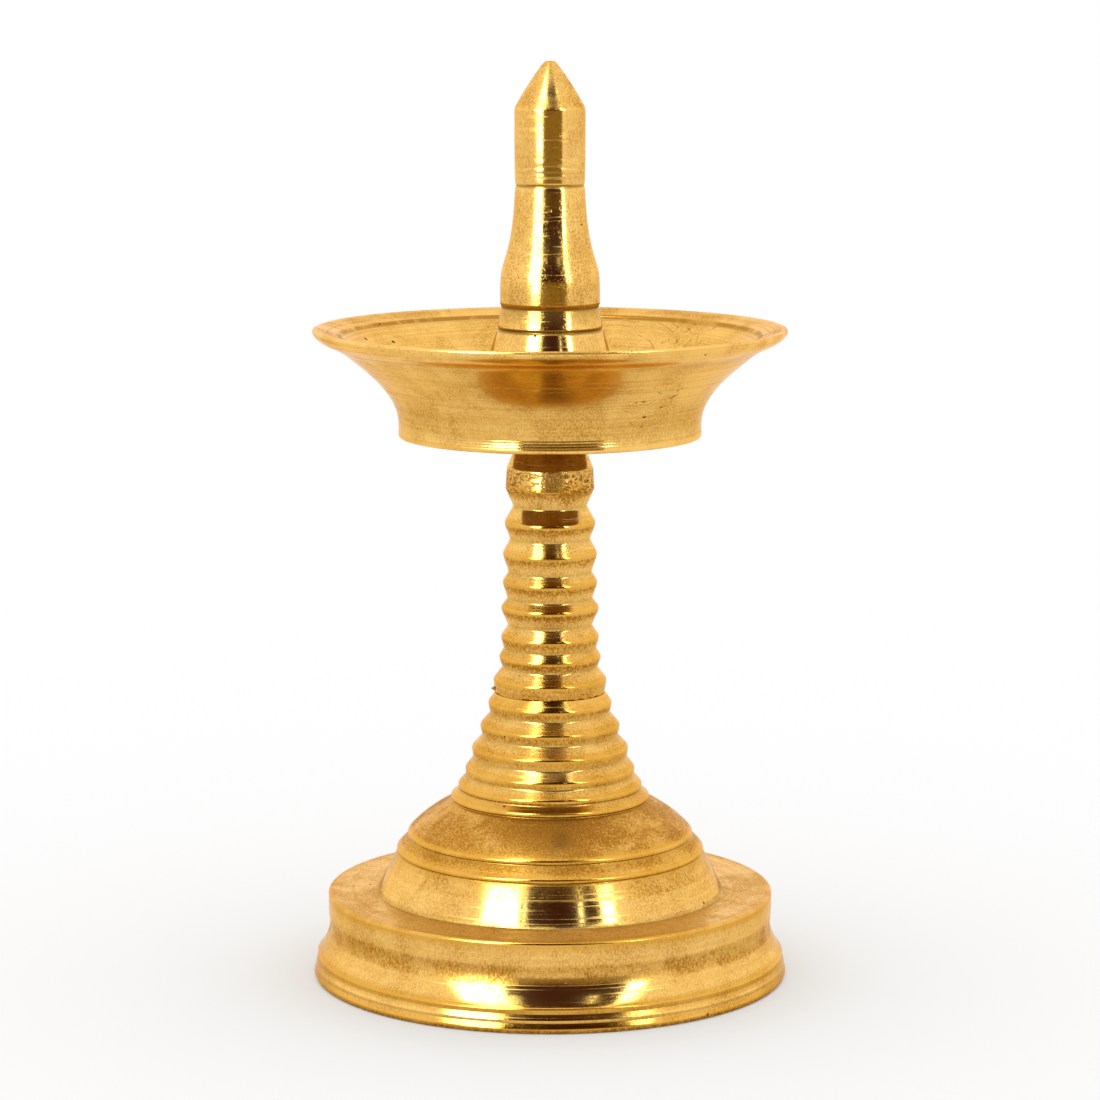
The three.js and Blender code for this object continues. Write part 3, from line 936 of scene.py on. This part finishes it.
# %% Marks of the bowl
INNER_LIP = (34.3, 106.4)
GAS_HOLES = ((-30.5, 9.7, 104.9), (-26.2, 15.4, 103.8))
NICKED = (16.5, -21.4, 97.0)
NICK_SIZE, NICK_SQUASH = 1.6, 4
LIP_LINE_WIDTH, LIP_LINE_PATCH = 0.75, 4
LOW_FAN = {"Across": 8, "Along": 20, "Inner": 9, "Outer": 17, "Spacing": 0.6}
WIDE_FAN = {"Across": 34, "Along": 10, "Inner": 9, "Outer": 20, "Spacing": 1.3}


def near_to(tree, place, spot, full, gone):
    """1 within full mm of a spot given in mm, fading to 0 at gone mm."""
    ends = {0: place, 1: Vector(spot) * MM}
    away = wire(tree, "ShaderNodeVectorMath", ends, operation="DISTANCE").outputs["Value"]
    return ramp(tree, times(tree, away, PER_MM), full, gone, 1.0, 0.0)


def bowl_marks(tree, place):
    """Gas holes, a few nicks, a brown line under the inner lip, and two fans of scratches."""
    black = use(tree, pores, Position=place, Spacing=6.0, Share=0.25, Size=0.03)["Mask"]
    for hole in GAS_HOLES:
        black = plus(tree, black, near_to(tree, place, hole, 0.25, 0.45))
    patch = near_to(tree, place, NICKED, 3.0, 7.0)
    nicks = dashed(tree, place, NICK_SIZE, NICK_SQUASH, 1.0, 0.70, 0.74)
    black = plus(tree, black, times(tree, nicks, patch, 0.9))
    lip = {"Radius": INNER_LIP[0], "Height": INNER_LIP[1], "Width": LIP_LINE_WIDTH}
    ring = use(tree, stain_ring, Position=place, **lip)["Mask"]
    uneven = ramp(tree, noise(tree, place, PER_MM / LIP_LINE_PATCH, 4.0), 0.25, 0.5)
    line = times(tree, ring, uneven, 0.9)
    low_fan = use(tree, scratches, Position=place, **LOW_FAN)["Mask"]
    wide_fan = use(tree, scratches, Position=place, **WIDE_FAN)["Mask"]
    inside = use(tree, height_zone, Position=place, Low=FLOOR, High=INNER_LIP[1])["Mask"]
    fans = times(tree, plus(tree, low_fan, wide_fan), inside, 0.6)
    return black, maths(tree, "MAXIMUM", line, fans)


print("gas holes in the bowl:", len(GAS_HOLES))

# %% Marks of the spire
SPIRE_CUTS = ((8.4, 107.5), (8.0, 111.4))
CUT_WIDTH = 0.55
SPOT_SIZE = 0.35


def spire_marks(tree, place):
    """Small holes and brown specks below the scored line, and dirt in the two cuts."""
    shank = use(tree, height_zone, Position=place, Low=RIM_TOP, High=SCORE, Soft=6.0)["Mask"]
    pits = use(tree, pores, Position=place, Spacing=1.3, Share=0.2, Size=0.05)["Mask"]
    spots = ramp(tree, noise(tree, place, PER_MM / SPOT_SIZE, 2.0), 0.57, 0.66)
    black = times(tree, shank, pits)
    for radius, height in SPIRE_CUTS:
        ring = {"Radius": radius, "Height": height, "Width": CUT_WIDTH}
        cut = use(tree, stain_ring, Position=place, **ring)["Mask"]
        black = plus(tree, black, times(tree, cut, 0.3))
    return black, times(tree, shank, spots, 0.8)


print("cuts round the spire:", len(SPIRE_CUTS))

# %% The five brasses
base_brass = brass_material(
    "base_brass",
    [
        (-1, LIP_TOP, 0.25, 0.2),
        (LIP_TOP, COVE_MIDDLE, 0.12, 0.12),
        (COVE_MIDDLE, COVE_TOP, 0.75, 0.75),
        (COVE_TOP, FOOT_TOP - 0.2, 0.25, 0.05),
        (FOOT_TOP - 0.2, FOOT_TOP + 0.4, 1.7, 0.0),
        (FOOT_TOP + 0.4, DRUM_MIDDLE, 0.10, 0.10),
        (DRUM_MIDDLE, DRUM_TOP, 0.25, 0.6),
        (DRUM_TOP, BAND_FOOT, 0.4, 0.05),
        (BAND_FOOT, BAND_TOP, 0.8, 1.2),
        (BAND_TOP, DOME_FOOT, 0.4, 0.05),
        (DOME_FOOT, DOME_TOP, 1.3, 1.3),
        (DOME_TOP, SEAM, 0.4, 0.2),
    ],
    # shade sets the painted shade close to and under the ridges.
    shade=1.4,
    specks=0.24,
)
stem_brass = brass_material(
    "stem_brass",
    [
        (SEAM - 9, COLLAR_FOOT, 0.3, 0.1),
        (COLLAR_FOOT, COLLAR_TOP, 1.1, 0.15),
        (COLLAR_TOP, FLOOR, 0.2, 0.2),
    ],
    # shade sets the painted shade close to and under the ridges.
    shade=1.4,
    specks=0.32,
    marks=stem_marks,
)
bowl_brass = brass_material(
    "bowl_brass",
    [
        # The bowl's underside is browned partly as tarnish and partly as painted shade.
        (80, BOWL_FOOT + 0.2, 0.3, 1.1),
        (BOWL_FOOT + 0.2, BOWL_BAND, 0.25, 0.0),
        (BOWL_BAND, RIM_LOW, 0.22, 0.2),
        (RIM_LOW, RIM_TOP + 1, 1.1, 0.1),
    ],
    slant=0.9,
    streaks=0.4,
    groove=0.8,
    shade=0.0,
    specks=0.2,
    marks=bowl_marks,
)
spire_brass = brass_material(
    "spire_brass",
    [
        (80, RIM_TOP, 0.15, 0.1),
        (RIM_TOP, SHANK_TOP, 0.3, 0.12),
        (SHANK_TOP, TIP + 1, 1.0, 0.3),
    ],
    streaks=0.1,
    groove=1.1,
    # shade sets the painted shade close to and under the ridges.
    shade=0.3,
    specks=0.2,
    marks=spire_marks,
)
stud_brass = brass_material("stud_brass", [(0, TIP, 0.8, 0.6)], streaks=0.5, groove=0.6)
for brass in (base_brass, stem_brass, bowl_brass, spire_brass, stud_brass):
    print(brass.name, "nodes:", len(brass.node_tree.nodes))

# %% [markdown]
# ## The four turned pieces
# Three places carry marks that are shape and not only finish. The foot's lip is stepped by the
# parting tool, so that it shows dark and light lines. The tool chattered on the spire above its
# scored line, which left a few shallow waves, and it left fine even rings on the band at the foot
# of the bowl. All are added to the outline before it is spun, so that they catch the light from
# every side.

# %% The four turned pieces
LIP_LOW, LIP_HIGH = 0.9 * MM, 3.8 * MM
LIP_STEPS = ((0.0, 0.0), (0.27, -0.10), (0.42, -0.02), (0.75, -0.14), (1.0, 0.02))
LIP_POINTS = 40
CHATTER_LOW, CHATTER_HIGH = 131.6 * MM, 136.4 * MM
CHATTER = 0.012 * MM
CHATTER_RINGS = 5
CHATTER_SWAY = 0.4
CHATTER_POINTS = 72
BAND_RING_LOW, BAND_RING_HIGH = 90.4 * MM, 92.2 * MM
BAND_RING = 0.006 * MM
BAND_RINGS = 4
BAND_POINTS = 48
FINE_STEP = 0.6 * MM


def lip_form(share):
    """Two shallow steps, each with a small rounded shoulder."""
    places, depths = zip(*LIP_STEPS)
    return np.interp(share, places, depths) * MM


def chatter_form(share):
    """Shallow uneven waves that fade out at both ends."""
    sway = CHATTER_SWAY * math.sin(CHATTER_RINGS * share)
    wave = math.sin(2 * math.pi * (CHATTER_RINGS * share + sway))
    return CHATTER * wave * math.sin(math.pi * share)


def band_form(share):
    """Even fine grooves."""
    return BAND_RING * math.sin(2 * math.pi * BAND_RINGS * share)


print("deepest step of the lip, mm:", min(depth for place, depth in LIP_STEPS))

# %% Turn the four pieces
base_outline = eased(section_outline("base"))
base_outline = reshaped(base_outline, LIP_LOW, LIP_HIGH, LIP_POINTS, lip_form)
base_outline = filled(base_outline, FINE_STEP)
stem_outline = filled(eased(section_outline("stem")), FINE_STEP)
bowl_outline = eased(section_outline("oil_bowl"), BOWL_BEND, RIM_EASE)
bowl_outline = reshaped(bowl_outline, BAND_RING_LOW, BAND_RING_HIGH, BAND_POINTS, band_form)
spire_outline = eased(section_outline("spire"))
spire_outline = reshaped(spire_outline, CHATTER_LOW, CHATTER_HIGH, CHATTER_POINTS, chatter_form)
dressed = {}
for node, outline, brass in (
    ("base", base_outline, base_brass),
    ("stem", stem_outline, stem_brass),
    ("oil_bowl", bowl_outline, bowl_brass),
    ("spire", spire_outline, spire_brass),
):
    piece = turned(f"{node}_turned", outline)
    piece.data.materials.append(brass)
    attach(piece, node)
    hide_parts(node)
    dressed[node] = piece

# %% [markdown]
# ## A burr on the stem
# Where the stem meets the base, a small lip of metal was pushed out when the two were faced off,
# and it stands out at the left edge in the photograph. A cone stuck on would show its foot, so one
# vertex of the lower edge is pulled outwards with a soft reach, which drags its neighbours along
# like soft metal under a tool.

# %% A burr on the stem
BURR_TURN = math.radians(-177)
BURR_OUT = 0.7 * MM
BURR_REACH = 0.7 * MM
BURR_LIFT = 0.45 * MM
BURR_RISE = 0.2
EDGE_HEIGHT = 0.6 * MM

stem = dressed["stem"]
edge_top = JOINT_HEIGHT + EDGE_HEIGHT
edge_radius = max(math.hypot(*v.co[:2]) for v in stem.data.vertices if v.co.z < edge_top)
outwards = Vector((math.cos(BURR_TURN), math.sin(BURR_TURN), 0))
burr_point = outwards * edge_radius + Vector((0, 0, JOINT_HEIGHT + BURR_LIFT))
bpy.ops.object.select_all(action="DESELECT")
bpy.context.view_layer.objects.active = stem
bpy.ops.object.mode_set(mode="EDIT")
bpy.ops.mesh.select_all(action="DESELECT")
bpy.ops.mesh.select_mode(type="VERT")
bpy.ops.object.mode_set(mode="OBJECT")
nearest = min(stem.data.vertices, key=lambda v: (v.co - burr_point).length)
nearest.select = True
pull = (outwards + Vector((0, 0, BURR_RISE))) * BURR_OUT
bpy.ops.object.mode_set(mode="EDIT")
bpy.ops.transform.translate(
    value=pull,
    use_proportional_edit=True,
    proportional_edit_falloff="SHARP",
    proportional_size=BURR_REACH,
)
bpy.ops.object.mode_set(mode="OBJECT")
print("burr at, mm:", [round(side / MM, 1) for side in nearest.co])

# %% [markdown]
# ## Threaded studs
# The two studs only show when the lamp is taken apart. A real stud is a brass rod with a thread
# cut along it and its ends bevelled. The thread's tooth is drawn once and carried round and down
# with the screw tool, cut off square beyond both ends, and then kept only where it lies inside
# the plain bevelled rod. The screw tool winds left-handed, so the thread is mirrored.

# %% Threaded studs
PITCH = 1.0 * MM
TOOTH = 0.5 * MM
FLANK = 0.42 * PITCH
CREST = 0.16 * PITCH
CREST_PLAY = 0.03 * MM
SCREW_STEPS = 40
ROD_SIDES = 96
SPARE_TURNS = 3
CREASE = math.radians(30)


def threaded(name, node):
    """A bevelled rod with a right-handed thread, made to the size of a packed stud."""
    outline = section_outline(node)
    low = min(z for r, z in outline)
    high = max(z for r, z in outline)
    crest = max(r for r, z in outline) - CREST_PLAY
    rod = turned(f"{name}_rod", [Vector(point) for point in outline], ROD_SIDES)
    screw = start_vertex(name, (crest - TOOTH, 0, high + PITCH))
    for out, up in ((TOOTH, FLANK), (0, CREST), (-TOOTH, FLANK)):
        bpy.ops.mesh.extrude_region_move(TRANSFORM_OT_translate={"value": (out, 0, up)})
    bpy.ops.mesh.select_all(action="SELECT")
    turns = math.ceil((high - low) / PITCH) + SPARE_TURNS
    bpy.ops.mesh.screw(steps=SCREW_STEPS, turns=turns, center=(0, 0, 0), axis=(0, 0, 1))
    bpy.ops.mesh.select_all(action="SELECT")
    bpy.ops.mesh.remove_doubles(threshold=MERGE)
    bpy.ops.transform.resize(value=(-1, 1, 1), center_override=(0, 0, 0))
    for z, side in ((low - PITCH / 2, "clear_inner"), (high + PITCH / 2, "clear_outer")):
        bpy.ops.mesh.select_all(action="SELECT")
        bpy.ops.mesh.bisect(plane_co=(0, 0, z), plane_no=(0, 0, 1), use_fill=True, **{side: True})
    bpy.ops.mesh.select_all(action="SELECT")
    bpy.ops.mesh.remove_doubles(threshold=MERGE)
    bpy.ops.mesh.normals_make_consistent(inside=False)
    bpy.ops.object.mode_set(mode="OBJECT")
    cut = screw.modifiers.new("rod", "BOOLEAN")
    cut.operation = "INTERSECT"
    cut.solver = "EXACT"
    cut.object = rod
    bpy.ops.object.modifier_apply(modifier=cut.name)
    bpy.data.objects.remove(rod)
    bpy.ops.object.shade_smooth_by_angle(angle=CREASE)
    depths = [(crest - math.hypot(*v.co[:2])) / TOOTH for v in screw.data.vertices]
    marks = screw.data.attributes
    hollow = marks.get("hollow") or marks.new("hollow", "FLOAT", "POINT")
    hollow.data.foreach_set("value", np.clip(depths, 0, 1).astype(np.float32))
    print(name, "faces:", len(screw.data.polygons))
    return screw


print("thread pitch, mm:", PITCH / MM)

# %% Thread both studs
for node in ("lower_stud", "upper_stud"):
    stud = threaded(f"{node}_threaded", node)
    stud.data.materials.clear()
    stud.data.materials.append(stud_brass)
    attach(stud, node)
    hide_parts(node)
